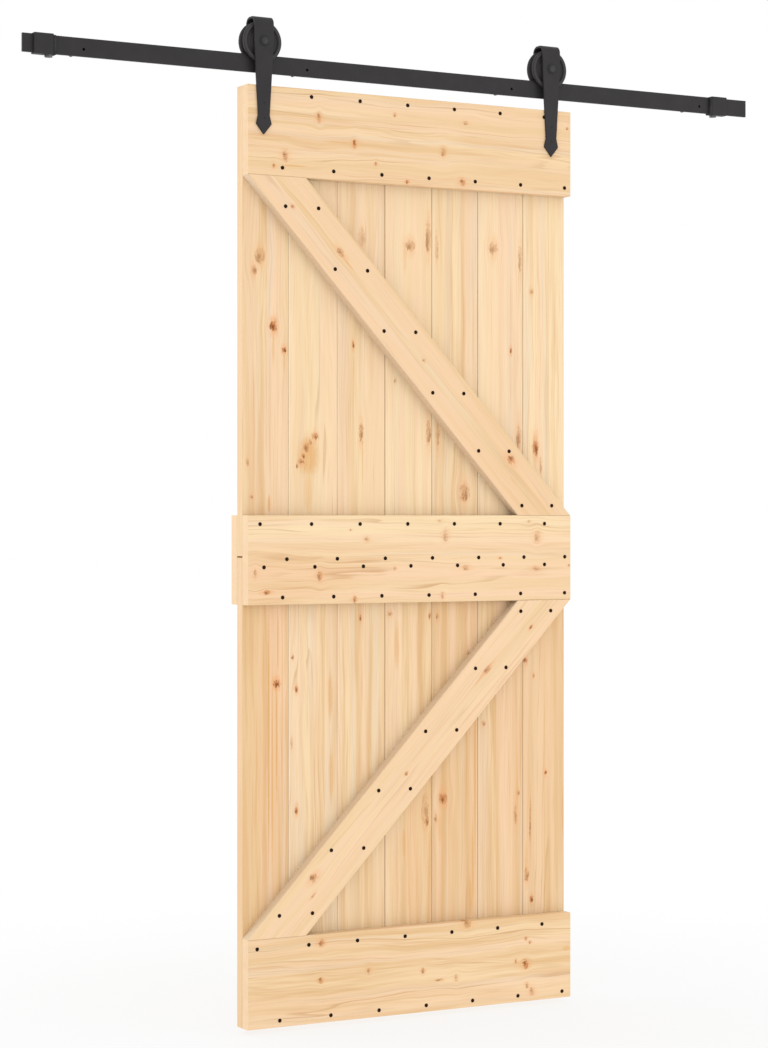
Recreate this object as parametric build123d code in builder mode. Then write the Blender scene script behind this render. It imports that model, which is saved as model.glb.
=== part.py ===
import os
from math import sqrt

from build123d import *

os.makedirs("parts", exist_ok=True)

# Frame: the origin is on the wall at the middle of the row of track bolts.
# +X runs to the right along the track, -Y comes out into the room, +Z is up.
# A "stand" is a distance out from the wall.

# Door leaf
door_width = 850.0
door_height = 2100.0
board_thickness = 28.0
edge_ease = 1.5
wall_gap = 6.0

# Rails and braces
rail_height = 200.0
middle_rail_level = 943.0
brace_cut = 146.0

# Tongue-and-groove planks
plank_count = 7
end_plank_cover = 115.0
plank_gap = 0.4
butt_gap = 1.0
plank_bevel = 1.2
tongue_length = 7.0
tongue_thickness = 8.0
groove_clearance = 0.3
butt_joint_share = 0.535

# Wood screws
screw_head_radius = 4.5
screw_head_height = 3.5
screw_shank_radius = 2.2
screw_point_length = 6.0
screw_point_radius = 0.4
screw_sides = 8
rail_screw_length = 50.0
middle_screw_length = 75.0
brace_screw_spacing = 83.0

# Screw rows: level as a share of the rail's height, then places on the first, inner and last planks
# as shares of the plank's width
top_row_shares = ((0.913, 0.26, 0.352, 0.357), (0.095, 0.744, 0.806, 0.855))
middle_row_shares = (
    (0.901, 0.259, 0.352, 0.366),
    (0.509, 0.84, 0.88, 0.861),
    (0.42, 0.345, 0.42, 0.367),
    (0.082, 0.748, 0.806, 0.855),
)
bottom_row_shares = ((0.893, 0.198, 0.297, 0.306), (0.076, 0.687, 0.747, 0.793))

# Screw pairs along the braces, as shares of the way from the outer rail to the middle rail
upper_brace_shares = (0.088, 0.266, 0.445, 0.627, 0.802, 0.97)
lower_brace_shares = (0.066, 0.252, 0.425, 0.6, 0.79, 0.966)

# Track bar and its wall fixings
track_length = 1900.0
track_height = 40.0
track_thickness = 6.0
track_clearance = 29.0
bolt_drop = 4.0
bolt_hole_radius = 3.25
bolt_inset = 140.0
bolt_count = 4
standoff_radius = 5.0
standoff_chamfer = 0.5

# Wheels
flange_radius = 47.0
wheel_width = 30.0
rolling_radius = 28.2
running_gap = 0.3
groove_width = 8.0
groove_mouth = 12.0
rim_chamfer = 2.0
rim_width = 8.0
face_recess = 3.0
hub_radius = 21.0
bearing_radius = 14.0
bearing_width = 10.0
press_clearance = 0.02

# Axles
axle_radius = 6.0
axle_clearance = 0.05
axle_head_radius = 13.0
axle_head_height = 5.0
axle_thread_end = 3.0
axle_nut_flats = 19.0
axle_nut_height = 8.0
spacer_radius = 9.0
side_clearance = 0.3

# Hanger straps
left_hanger_inset = 38.0
right_hanger_inset = 56.0
strap_thickness = 5.0
strap_width = 48.0
strap_gap = 34.0
bend_radius = 11.0
crown_clearance = 3.5
back_leg_drop = 22.0
back_leg_round = 18.0
neck_width = 28.0
shoulder_width = 37.5
tip_drop = 110.0
shoulder_rise = 23.0
neck_rise = 43.0
strap_chamfer = 0.8
strap_screw_drops = (40.0, 74.0)
strap_screw_length = 45.0
strap_screw_head_radius = 5.0
strap_screw_head_height = 3.0

# End stops
left_stop_inset = 24.0
right_stop_inset = 62.0
stop_length = 45.0
stop_depth = 20.0
stop_wall = 2.5
stop_chamfer = 1.2
stop_fit = 0.1
bumper_width = 5.0
bumper_round = 2.0
stop_screw_radius = 4.0
stop_screw_flats = 16.0
stop_screw_head = 5.0
stop_screw_inset = 9.0

# One overrun serves every cut
overrun = 1.0

# Levels, from the bolt row
track_middle = bolt_drop
track_top = track_middle + track_height / 2
track_bottom = track_middle - track_height / 2
door_top = track_bottom - track_clearance
door_bottom = door_top - door_height
top_rail_bottom = door_top - rail_height
middle_rail_bottom = door_bottom + middle_rail_level
middle_rail_top = middle_rail_bottom + rail_height
bottom_rail_top = door_bottom + rail_height
butt_joint = middle_rail_bottom + butt_joint_share * rail_height
axle_level = track_top + running_gap + rolling_radius
strap_top = axle_level + flange_radius + crown_clearance + strap_thickness
strap_tip = door_top - tip_drop

# Stands, from the wall
back_rail_stand = wall_gap
plank_stand = back_rail_stand + board_thickness
front_stand = plank_stand + board_thickness
door_face = front_stand + board_thickness
wheel_stand = door_face - strap_gap / 2
track_stand = wheel_stand - track_thickness / 2
strap_face = door_face + strap_thickness
back_leg_stand = door_face - strap_gap - strap_thickness
strap_depth = strap_face - back_leg_stand

# Places along the track
door_left = -door_width / 2
door_right = door_width / 2
plank_cover = (door_width - 2 * end_plank_cover) / (plank_count - 2)
bolt_spacing = (track_length - 2 * bolt_inset) / (bolt_count - 1)
seams = [door_left]
for seam_number in range(plank_count - 1):
    seams.append(door_left + end_plank_cover + plank_cover * seam_number)
seams.append(door_right)
left_hanger = door_left + left_hanger_inset
right_hanger = door_right - right_hanger_inset
hangers = {"left": left_hanger, "right": right_hanger}


# Planks: seven boards in each half, tongue on the right, groove on the left
def make_plank(number, bottom, top):
    first = number == 0
    last = number == plank_count - 1
    left = seams[number] + (0 if first else plank_gap / 2)
    right = seams[number + 1] - (0 if last else plank_gap / 2)
    middle = -(plank_stand + board_thickness / 2)
    with BuildPart() as plank:
        with BuildSketch(Plane.XY.offset(bottom)) as section:
            with Locations(((left + right) / 2, middle)):
                Rectangle(right - left, board_thickness)
            chamfer(section.vertices(), plank_bevel)
            if not last:
                with Locations((right, middle)):
                    Rectangle(tongue_length, tongue_thickness, align=(Align.MIN, Align.CENTER))
            if not first:
                with Locations((left, middle)):
                    Rectangle(
                        tongue_length - plank_gap + groove_clearance,
                        tongue_thickness + 2 * groove_clearance,
                        align=(Align.MIN, Align.CENTER),
                        mode=Mode.SUBTRACT,
                    )
        extrude(amount=top - bottom)
    return plank.part


plank_halves = {
    "upper": (butt_joint + butt_gap / 2, door_top),
    "lower": (door_bottom, butt_joint - butt_gap / 2),
}
for half, (half_bottom, half_top) in plank_halves.items():
    for plank_number in range(plank_count):
        plank_part = make_plank(plank_number, half_bottom, half_top)
        plank_part.label = f"{half}_plank_{plank_number + 1}"
        export_step(plank_part, f"parts/{plank_part.label}.step")


# Rails: planed boards across the full width, three on the front and one on the back
def make_rail(stand, bottom):
    with BuildPart() as rail:
        with BuildSketch(Plane.YZ.offset(door_left)) as section:
            with Locations((-(stand + board_thickness / 2), bottom + rail_height / 2)):
                Rectangle(board_thickness, rail_height)
            chamfer(section.vertices(), edge_ease)
        extrude(amount=door_width)
    return rail.part


rails = {
    "top_rail": (front_stand, top_rail_bottom),
    "middle_rail": (front_stand, middle_rail_bottom),
    "bottom_rail": (front_stand, door_bottom),
    "back_middle_rail": (back_rail_stand, middle_rail_bottom),
}
for rail_name, (rail_stand, rail_bottom) in rails.items():
    rail_part = make_rail(rail_stand, rail_bottom)
    rail_part.label = rail_name
    export_step(rail_part, f"parts/{rail_name}.step")


# Braces: one board each, from the left end of an outer rail to the right end of the middle rail,
# with level cuts that meet the rails
def make_brace(outer_level, inner_level):
    with BuildPart() as brace:
        with BuildSketch(Plane.XZ.offset(front_stand)):
            with BuildLine():
                Polyline(
                    (door_left, outer_level),
                    (door_left + brace_cut, outer_level),
                    (door_right, inner_level),
                    (door_right - brace_cut, inner_level),
                    close=True,
                )
            make_face()
        extrude(amount=board_thickness)
        front_edges = brace.faces().sort_by(Axis.Y)[0].edges()
        chamfer(front_edges.sort_by(SortBy.LENGTH)[-2:], edge_ease)
    return brace.part


braces = {"upper_brace": (top_rail_bottom, middle_rail_top), "lower_brace": (bottom_rail_top, middle_rail_bottom)}
for brace_name, (outer_level, inner_level) in braces.items():
    brace_part = make_brace(outer_level, inner_level)
    brace_part.label = brace_name
    export_step(brace_part, f"parts/{brace_name}.step")


# Wood screws: countersunk heads flush with the front, points in the boards behind
def make_screw(length, head_radius, head_height):
    sections = (
        (0, head_radius),
        (head_height, screw_shank_radius),
        (length - screw_point_length, screw_shank_radius),
        (length, screw_point_radius),
    )
    with BuildPart() as screw:
        for depth, radius in sections:
            with BuildSketch(Plane.XZ.offset(-depth)):
                RegularPolygon(radius, screw_sides)
        loft(ruled=True)
    return screw.part


def rail_screw_places(rail_bottom, row_shares):
    places = []
    for level_share, first_share, inner_share, last_share in row_shares:
        plank_shares = [first_share] + [inner_share] * (plank_count - 2) + [last_share]
        for number, plank_share in enumerate(plank_shares):
            across = seams[number] + plank_share * (seams[number + 1] - seams[number])
            places.append((across, -door_face, rail_bottom + level_share * rail_height))
    return places


def brace_screw_places(outer_level, inner_level, pair_shares):
    places = []
    for pair_share in pair_shares:
        middle = door_left + brace_cut / 2 + pair_share * (door_width - brace_cut)
        level = outer_level + pair_share * (inner_level - outer_level)
        for side in (-1, 1):
            places.append((middle + side * brace_screw_spacing / 2, -door_face, level))
    return places


rail_screw = make_screw(rail_screw_length, screw_head_radius, screw_head_height)
middle_screw = make_screw(middle_screw_length, screw_head_radius, screw_head_height)
screw_groups = {
    "top_rail_screws": (rail_screw, rail_screw_places(top_rail_bottom, top_row_shares)),
    "middle_rail_screws": (middle_screw, rail_screw_places(middle_rail_bottom, middle_row_shares)),
    "bottom_rail_screws": (rail_screw, rail_screw_places(door_bottom, bottom_row_shares)),
    "upper_brace_screws": (
        rail_screw,
        brace_screw_places(top_rail_bottom, middle_rail_top, upper_brace_shares),
    ),
    "lower_brace_screws": (
        rail_screw,
        brace_screw_places(bottom_rail_top, middle_rail_bottom, lower_brace_shares),
    ),
}
for group_name, (screw_shape, screw_places) in screw_groups.items():
    with BuildPart() as screw_group:
        with Locations(*screw_places):
            add(screw_shape)
    screw_group.part.label = group_name
    export_step(screw_group.part, f"parts/{group_name}.step")


# Hanger straps: flat bar with an arrow tip on the door's face, bent back over the wheel to a short back leg
def make_strap(hanger):
    with BuildPart() as strap:
        with BuildSketch(Plane.YZ.offset(hanger - strap_width / 2)):
            with BuildLine():
                outer = FilletPolyline(
                    (-strap_face, strap_tip),
                    (-strap_face, strap_top),
                    (-back_leg_stand, strap_top),
                    (-back_leg_stand, axle_level - back_leg_drop),
                    radius=bend_radius + strap_thickness,
                )
                inner = FilletPolyline(
                    (-door_face, strap_tip),
                    (-door_face, strap_top - strap_thickness),
                    (-back_leg_stand - strap_thickness, strap_top - strap_thickness),
                    (-back_leg_stand - strap_thickness, axle_level - back_leg_drop),
                    radius=bend_radius,
                )
                Line(outer @ 0, inner @ 0)
                Line(outer @ 1, inner @ 1)
            make_face()
        extrude(amount=strap_width)
        with BuildSketch(Plane.XZ.offset(back_leg_stand - overrun)):
            with BuildLine():
                Polyline(
                    (hanger, strap_tip),
                    (hanger + shoulder_width / 2, strap_tip + shoulder_rise),
                    (hanger + neck_width / 2, strap_tip + neck_rise),
                    (hanger + strap_width / 2, axle_level),
                    (hanger + strap_width / 2, strap_top + overrun),
                    (hanger - strap_width / 2, strap_top + overrun),
                    (hanger - strap_width / 2, axle_level),
                    (hanger - neck_width / 2, strap_tip + neck_rise),
                    (hanger - shoulder_width / 2, strap_tip + shoulder_rise),
                    close=True,
                )
            make_face()
        extrude(amount=strap_depth + 2 * overrun, mode=Mode.INTERSECT)
        back_leg = strap.faces().filter_by(Axis.Y).sort_by(Axis.Y)[-1]
        back_end = back_leg.edges().sort_by(Axis.Z)[0]
        corners = strap.edges().filter_by(Axis.Y).filter_by_position(
            Axis.Z, back_end.center().Z - overrun, back_end.center().Z + overrun
        )
        fillet(corners, back_leg_round)
        front_edges = strap.faces().filter_by(Axis.Y).sort_by(Axis.Y)[0].edges()
        chamfer(front_edges.sort_by(Axis.Z)[:-1], strap_chamfer)
        with Locations(Plane(origin=(hanger, -strap_face, axle_level), z_dir=(0, -1, 0))):
            Hole(axle_radius + axle_clearance, depth=strap_depth)
        for screw_drop in strap_screw_drops:
            with Locations(Plane(origin=(hanger, -strap_face, door_top - screw_drop), z_dir=(0, -1, 0))):
                CounterSinkHole(
                    screw_shank_radius + axle_clearance,
                    strap_screw_head_radius + axle_clearance,
                    depth=strap_thickness,
                )
    return strap.part


for side, hanger in hangers.items():
    strap_part = make_strap(hanger)
    strap_part.label = f"{side}_hanger_strap"
    export_step(strap_part, f"parts/{side}_hanger_strap.step")

# Strap screws: two through each strap, flush with its face
strap_screw_heads = []
for hanger in hangers.values():
    for screw_drop in strap_screw_drops:
        strap_screw_heads.append((hanger, -strap_face, door_top - screw_drop))
strap_screw = make_screw(strap_screw_length, strap_screw_head_radius, strap_screw_head_height)
with BuildPart() as strap_screws:
    with Locations(*strap_screw_heads):
        add(strap_screw)
strap_screws.part.label = "strap_screws"
export_step(strap_screws.part, "parts/strap_screws.step")

# Axle bolts: domed head on the strap's face, shank through both legs
axle_length = strap_depth + axle_nut_height + axle_thread_end
dome_radius = (axle_head_radius**2 + axle_head_height**2) / (2 * axle_head_height)
dome_centre = dome_radius - axle_head_height
dome_middle = (axle_head_radius / 2, dome_centre - sqrt(dome_radius**2 - (axle_head_radius / 2) ** 2))
with BuildPart() as axle_bolt:
    with BuildSketch(Plane.XY):
        with BuildLine():
            Line((0, axle_length), (0, -axle_head_height))
            ThreePointArc((0, -axle_head_height), dome_middle, (axle_head_radius, 0))
            Polyline((axle_head_radius, 0), (axle_radius, 0), (axle_radius, axle_length), (0, axle_length))
        make_face()
    revolve(axis=Axis.Y)
with BuildPart() as axle_bolts:
    with Locations(*[(hanger, -strap_face, axle_level) for hanger in hangers.values()]):
        add(axle_bolt.part)
axle_bolts.part.label = "axle_bolts"
export_step(axle_bolts.part, "parts/axle_bolts.step")

# Axle nuts: hexagons tight against the back legs
with BuildPart() as axle_nuts:
    with BuildSketch(Plane.XZ.offset(back_leg_stand - axle_nut_height)):
        with Locations(*[(hanger, axle_level) for hanger in hangers.values()]):
            RegularPolygon(axle_nut_flats / 2, 6, major_radius=False)
            Circle(axle_radius + axle_clearance, mode=Mode.SUBTRACT)
    extrude(amount=axle_nut_height)
axle_nuts.part.label = "axle_nuts"
export_step(axle_nuts.part, "parts/axle_nuts.step")

# Axle spacers: a sleeve each side of the bearing, between it and the strap's legs
spacer_length = strap_gap / 2 - bearing_width / 2 - side_clearance
with BuildPart() as axle_spacers:
    for spacer_stand in (back_leg_stand + strap_thickness, door_face - spacer_length):
        with BuildSketch(Plane.XZ.offset(spacer_stand)):
            with Locations(*[(hanger, axle_level) for hanger in hangers.values()]):
                Circle(spacer_radius)
                Circle(axle_radius + axle_clearance, mode=Mode.SUBTRACT)
        extrude(amount=spacer_length)
axle_spacers.part.label = "axle_spacers"
export_step(axle_spacers.part, "parts/axle_spacers.step")


# Wheels: turned, a groove that straddles the track between two flanges, faces with rim, recess and hub
def make_wheel(hanger):
    centre = Plane(origin=(hanger, -wheel_stand, axle_level), x_dir=(0, 1, 0), z_dir=(1, 0, 0))
    half_width = wheel_width / 2
    bore = bearing_radius + press_clearance
    rim_inside = flange_radius - rim_width
    with BuildPart() as wheel:
        with BuildSketch(centre):
            with BuildLine():
                Polyline(
                    (0, bore),
                    (0, rolling_radius),
                    (groove_width / 2, rolling_radius),
                    (groove_mouth / 2, flange_radius - rim_chamfer),
                    (groove_mouth / 2 + rim_chamfer, flange_radius),
                    (half_width - rim_chamfer, flange_radius),
                    (half_width, flange_radius - rim_chamfer),
                    (half_width, rim_inside),
                    (half_width - face_recess, rim_inside - face_recess),
                    (half_width - face_recess, hub_radius),
                    (half_width - face_recess / 2, hub_radius),
                    (half_width - face_recess / 2, bore),
                    close=True,
                )
            make_face()
            mirror(about=Plane.YZ)
        revolve(axis=Axis((hanger, -wheel_stand, axle_level), (0, 1, 0)))
    return wheel.part


# Wheel bearings: sealed rings pressed into the middle of the wheels, running on the axles
def make_bearing(hanger):
    with BuildPart() as bearing:
        with BuildSketch(Plane.XZ.offset(wheel_stand - bearing_width / 2)):
            with Locations((hanger, axle_level)):
                Circle(bearing_radius)
                Circle(axle_radius + axle_clearance, mode=Mode.SUBTRACT)
        extrude(amount=bearing_width)
    return bearing.part


for side, hanger in hangers.items():
    wheel_part = make_wheel(hanger)
    wheel_part.label = f"{side}_wheel"
    export_step(wheel_part, f"parts/{side}_wheel.step")
    bearing_part = make_bearing(hanger)
    bearing_part.label = f"{side}_wheel_bearing"
    export_step(bearing_part, f"parts/{side}_wheel_bearing.step")

# Track bar: flat bar on edge, with the wall-bolt holes below its middle, clear of the wheels' flanges
with BuildPart() as track_bar:
    with BuildSketch(Plane.XZ.offset(track_stand)):
        with Locations((0, track_middle)):
            Rectangle(track_length, track_height)
        with GridLocations(bolt_spacing, bolt_spacing, bolt_count, 1):
            Circle(bolt_hole_radius, mode=Mode.SUBTRACT)
    extrude(amount=track_thickness)
track_bar.part.label = "track_bar"
export_step(track_bar.part, "parts/track_bar.step")

# Wall standoffs: plain sleeves behind the bolt holes, slim enough for the wheels' back flanges to pass above
with BuildPart() as wall_standoffs:
    with BuildSketch(Plane.XZ):
        with GridLocations(bolt_spacing, bolt_spacing, bolt_count, 1):
            Circle(standoff_radius)
    extrude(amount=track_stand)
    chamfer(wall_standoffs.edges().filter_by(GeomType.CIRCLE), standoff_chamfer)
    with BuildSketch(Plane.XZ):
        with GridLocations(bolt_spacing, bolt_spacing, bolt_count, 1):
            Circle(bolt_hole_radius)
    extrude(amount=track_stand, mode=Mode.SUBTRACT)
wall_standoffs.part.label = "wall_standoffs"
export_step(wall_standoffs.part, "parts/wall_standoffs.step")

# End stops: a clamp block round the bar, a rubber bumper towards the wheel and a screw from below
stop_bottom = track_bottom - stop_wall
stop_top = track_top + stop_wall
left_stop_face = -track_length / 2 + left_stop_inset + stop_length
right_stop_face = track_length / 2 - right_stop_inset - stop_length


def make_stop(start, screw_place):
    with BuildPart() as stop:
        with BuildSketch(Plane.YZ.offset(start)):
            with Locations((-wheel_stand, track_middle)):
                Rectangle(stop_depth, stop_top - stop_bottom)
        extrude(amount=stop_length)
        chamfer(stop.edges(), stop_chamfer)
        with BuildSketch(Plane.YZ.offset(start)):
            with Locations((-wheel_stand, track_middle)):
                Rectangle(track_thickness + 2 * stop_fit, track_height + 2 * stop_fit)
        extrude(amount=stop_length, mode=Mode.SUBTRACT)
        with BuildSketch(Plane.XY.offset(stop_bottom)):
            with Locations((screw_place, -wheel_stand)):
                Circle(stop_screw_radius + axle_clearance)
        extrude(amount=stop_wall, mode=Mode.SUBTRACT)
    return stop.part


def make_bumper(start):
    with BuildPart() as bumper:
        with BuildSketch(Plane.YZ.offset(start)) as section:
            with Locations((-wheel_stand, stop_bottom)):
                Rectangle(stop_depth, track_top - stop_bottom, align=(Align.CENTER, Align.MIN))
            fillet(section.vertices(), bumper_round)
            with Locations((-wheel_stand, track_bottom - stop_fit)):
                Rectangle(
                    track_thickness + 2 * stop_fit,
                    track_height + stop_wall,
                    align=(Align.CENTER, Align.MIN),
                    mode=Mode.SUBTRACT,
                )
        extrude(amount=bumper_width)
    return bumper.part


stops = {
    "left": (left_stop_face - stop_length, left_stop_face - stop_screw_inset, left_stop_face),
    "right": (right_stop_face, right_stop_face + stop_screw_inset, right_stop_face - bumper_width),
}
for side, (stop_start, screw_place, bumper_start) in stops.items():
    stop_part = make_stop(stop_start, screw_place)
    stop_part.label = f"{side}_stop"
    export_step(stop_part, f"parts/{side}_stop.step")
    bumper_part = make_bumper(bumper_start)
    bumper_part.label = f"{side}_bumper"
    export_step(bumper_part, f"parts/{side}_bumper.step")

# Stop screws: hexagon heads under the blocks, ends on the bar's lower edge
stop_screw_places = [(screw_place, -wheel_stand) for _, screw_place, _ in stops.values()]
with BuildPart() as stop_screws:
    with BuildSketch(Plane.XY.offset(stop_bottom - stop_screw_head)):
        with Locations(*stop_screw_places):
            RegularPolygon(stop_screw_flats / 2, 6, major_radius=False)
    extrude(amount=stop_screw_head)
    with BuildSketch(Plane.XY.offset(stop_bottom)):
        with Locations(*stop_screw_places):
            Circle(stop_screw_radius)
    extrude(amount=stop_wall)
stop_screws.part.label = "stop_screws"
export_step(stop_screws.part, "parts/stop_screws.step")
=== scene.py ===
from math import radians

import bpy
from mathutils import Matrix, Vector


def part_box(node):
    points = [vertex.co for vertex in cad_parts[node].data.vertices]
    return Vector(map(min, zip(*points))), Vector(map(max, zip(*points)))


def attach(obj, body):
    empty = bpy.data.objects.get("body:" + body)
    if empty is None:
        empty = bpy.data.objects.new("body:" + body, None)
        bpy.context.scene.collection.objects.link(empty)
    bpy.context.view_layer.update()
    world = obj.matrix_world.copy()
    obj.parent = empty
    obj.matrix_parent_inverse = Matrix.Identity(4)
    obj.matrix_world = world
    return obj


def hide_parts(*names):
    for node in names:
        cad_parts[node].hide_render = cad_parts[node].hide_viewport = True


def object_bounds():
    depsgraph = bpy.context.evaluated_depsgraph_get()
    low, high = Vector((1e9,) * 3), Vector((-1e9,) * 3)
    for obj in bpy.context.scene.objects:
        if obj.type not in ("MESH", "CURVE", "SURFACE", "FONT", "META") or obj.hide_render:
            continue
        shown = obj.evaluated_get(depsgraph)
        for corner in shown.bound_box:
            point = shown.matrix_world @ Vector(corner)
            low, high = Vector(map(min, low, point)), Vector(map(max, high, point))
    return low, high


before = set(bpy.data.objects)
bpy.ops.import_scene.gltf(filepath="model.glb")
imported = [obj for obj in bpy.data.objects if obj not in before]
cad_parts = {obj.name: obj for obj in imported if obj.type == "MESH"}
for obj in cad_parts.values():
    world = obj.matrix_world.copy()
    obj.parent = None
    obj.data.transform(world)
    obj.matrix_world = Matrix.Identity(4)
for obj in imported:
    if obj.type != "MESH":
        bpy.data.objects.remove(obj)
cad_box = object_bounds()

# Door boards: seven tongue-and-groove pine planks in each half, three rails and two braces on the front
# and one rail on the back. Each is planed softwood glued up from narrower strips, sanded and left bare,
# so the rings, the strips' different tones, the cut branches (knots) and resin streaks show.
door_corner = Vector((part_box("bottom_rail")[0].x, 0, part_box("bottom_rail")[0].z))
yellow_wood = (0.942, 0.727, 0.457, 1)
tan_wood = (0.755, 0.472, 0.232, 1)
pink_wood = (0.932, 0.653, 0.434, 1)
grey_wood = (0.832, 0.683, 0.514, 1)
line_wood = (0.622, 0.367, 0.178, 1)
# Pale painted highlight for the ends of the rails and the side faces of the planks
end_highlight_wood = (0.887, 0.662, 0.433, 1)
# Painted shade for the long side faces of the braces
brace_edge_shade = (0.762, 0.597, 0.428, 1)
# Painted shadow line for the gaps between the planks, and a painted highlight for the bevel beside each gap
seam_shade = (0.34, 0.165, 0.06, 1)
seam_highlight = (1.0, 0.87, 0.67, 1)
resin = (0.74, 0.392, 0.135, 1)
knot_halo = (0.84, 0.4, 0.175, 1)
knot_brown = (0.54, 0.255, 0.09, 1)
knot_red = (0.5, 0.16, 0.045, 1)
knot_heart = (0.2, 0.07, 0.022, 1)
ring_width = 0.0055
pith_depth = 0.05
pith_lean = 0.022
seam_width = 0.0013
seam_fade = seam_width / 3
seam_highlight_width = seam_width * 1.7
edge_depth = 0.0006
mm_in_metre = 1000
wood_gloss = 0.05
wood_roughness = 0.54
late_roughness = -0.08
fibre_roughness = 0.12
seam_roughness = 0.4
grain_relief = 0.0002

# Patterns in the wood: cycles per metre along, across and through the board, then detail and roughness
ragged_pattern = ((80, 210, 210), 4, 0.7)
wave_pattern = ((4.5, 14, 14), 2)
drift_pattern = ((1.6, 30, 22), 2)
band_pattern = ((1.9, 50, 38), 3, 0.65)
blush_pattern = ((0.6, 34, 26), 2)
grey_pattern = ((0.8, 47, 33), 2)
hair_pattern = ((5, 300, 190), 2, 0.6)
fibre_pattern = ((22, 1300, 900), 2)
calm_pattern = ((1.0, 15, 15), 1)
broken_pattern = ((5, 40, 34), 2)

# Where each pattern begins to show and where it shows in full, and its share in the colour
band_contrast = (0.38, 0.64)
blush_contrast = (0.42, 0.6)
grey_contrast = (0.5, 0.66)
hair_contrast = (0.5, 0.78)
fibre_contrast = (0.35, 0.75)
calm_contrast = (0.38, 0.62)
broken_contrast = (0.36, 0.62)
band_share = 0.65
blush_share = 0.6
grey_share = 0.5
hair_share = 0.4
fibre_share = 0.08
calm_least = 0.3

# Growth rings: where in a ring the dark late wood rises and falls, how far the rings wander, counted in
# rings, and how much stronger than the faintest ring the others are
late_rise = (0.45, 0.88)
late_fall = (0.9, 1.0)
ring_drift = 6
faintest_ring = 0.1
ring_strength = 1.1

# Knots and streaks: where each part fades, in the spot's half sizes, and how ragged it is
ragged_reach = 3
push_softness = 0.8
knot_edge = (0.5, 1.05)
knot_ragged = 0.7
knot_core = (0.45, 0.85)
heart_edge = (0.1, 0.7)
heart_ragged = 0.65
heart_shrink = 1.1
heart_along = 0.25
heart_across = 0.3
heart_share = 0.9
halo_edge = (0.1, 1.0)
halo_ragged = 0.35
halo_stretch = (0.36, 0.62, 0)
halo_share = 0.8
ripple_count = 1.4
ripple_ragged = 1.1
ripple_contrast = (0.4, 0.95)
ripple_share = 0.3
streak_edge = (0.4, 1.2)
streak_ragged = 0.2
# Share of the painted shadow at the butt joint between the upper and lower planks
butt_shadow_share = 0.9

# Shifts that give each board and each strip a pattern of its own
seed_count = 17
seed_step = 3.7
strip_jump = 9.1
jump_across = 0.6
jump_rings = 0.37


class Wire:
    """A socket of a node tree. Arithmetic on wires adds Math nodes to that tree."""

    def __init__(self, socket):
        self.socket = socket
        self.tree = socket.id_data

    @staticmethod
    def node(tree, kind, settings, sockets, output=0):
        """Adds a node of any kind: its settings first, then the values or wires of its sockets."""
        made = tree.nodes.new(kind)
        for name, value in settings.items():
            setattr(made, name, value)
        for key, value in sockets.items():
            found = [s for s in made.inputs if key in (s.identifier, s.name)]
            if isinstance(value, Wire):
                tree.links.new(value.socket, found[0])
            else:
                found[0].default_value = value
        outputs = [s for s in made.outputs if output in (s.identifier, s.name)]
        return Wire(outputs[0] if outputs else made.outputs[output])

    def maths(self, operation, *others):
        values = dict(zip(("Value", "Value_001", "Value_002"), (self, *others)))
        return Wire.node(self.tree, "ShaderNodeMath", {"operation": operation}, values)

    def __add__(self, other):
        return self.maths("ADD", other)

    def __sub__(self, other):
        return self.maths("SUBTRACT", other)

    def __mul__(self, other):
        return self.maths("MULTIPLY", other)

    def __truediv__(self, other):
        return self.maths("DIVIDE", other)

    def __rsub__(self, other):
        return self * -1 + other

    __radd__ = __add__
    __rmul__ = __mul__

    def vector(self, operation, other, output=0):
        values = {"Vector": self, "Vector_001": other}
        return Wire.node(self.tree, "ShaderNodeVectorMath", {"operation": operation}, values, output)

    def part(self, axis):
        return Wire.node(self.tree, "ShaderNodeSeparateXYZ", {}, {"Vector": self}, axis)

    def noise(self, scale, detail=2.0, roughness=0.5):
        """Cloudy pattern from 0 to 1, drawn out by a different scale along each axis."""
        values = {"Vector": self.vector("MULTIPLY", scale), "Scale": 1.0, "Detail": detail,
                  "Roughness": roughness}
        return Wire.node(self.tree, "ShaderNodeTexNoise", {}, values)

    def ramp(self, low, high):
        """Rises smoothly from 0 at low to 1 at high."""
        values = {"Value": self, "From Min": low, "From Max": high}
        return Wire.node(self.tree, "ShaderNodeMapRange", {"interpolation_type": "SMOOTHSTEP"}, values)

    def mix(self, first, second):
        """Goes from the first colour to the second as this wire goes from 0 to 1."""
        values = {"Factor_Float": self, "A_Color": first, "B_Color": second}
        return Wire.node(self.tree, "ShaderNodeMix", {"data_type": "RGBA"}, values, "Result_Color")


def new_material(name):
    """An empty material with its shader, and the wire of the piece's own coordinates."""
    material = bpy.data.materials.new(name)
    material.use_nodes = True
    tree = material.node_tree
    shader = tree.nodes["Principled BSDF"]
    return material, shader, Wire.node(tree, "ShaderNodeTexCoord", {}, {}, "Object")


def finish_shader(shader, bump, height, **wires):
    """Links what varies to the shader, with a bump of that height in metres."""
    tree = shader.id_data
    for name, wire in wires.items():
        tree.links.new(wire.socket, shader.inputs[name.replace("_", " ")])
    relief = Wire.node(tree, "ShaderNodeBump", {}, {"Height": bump, "Strength": 1.0, "Distance": height})
    tree.links.new(relief.socket, shader.inputs["Normal"])


def dress(piece, material):
    piece.data.materials.clear()
    piece.data.materials.append(material)


def combine(tree, **parts):
    return Wire.node(tree, "ShaderNodeCombineXYZ", {}, parts)


def strongest(masks):
    """The largest of several wires at each place."""
    found = masks[0]
    for mask in masks[1:]:
        found = found.maths("MAXIMUM", mask)
    return found


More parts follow.
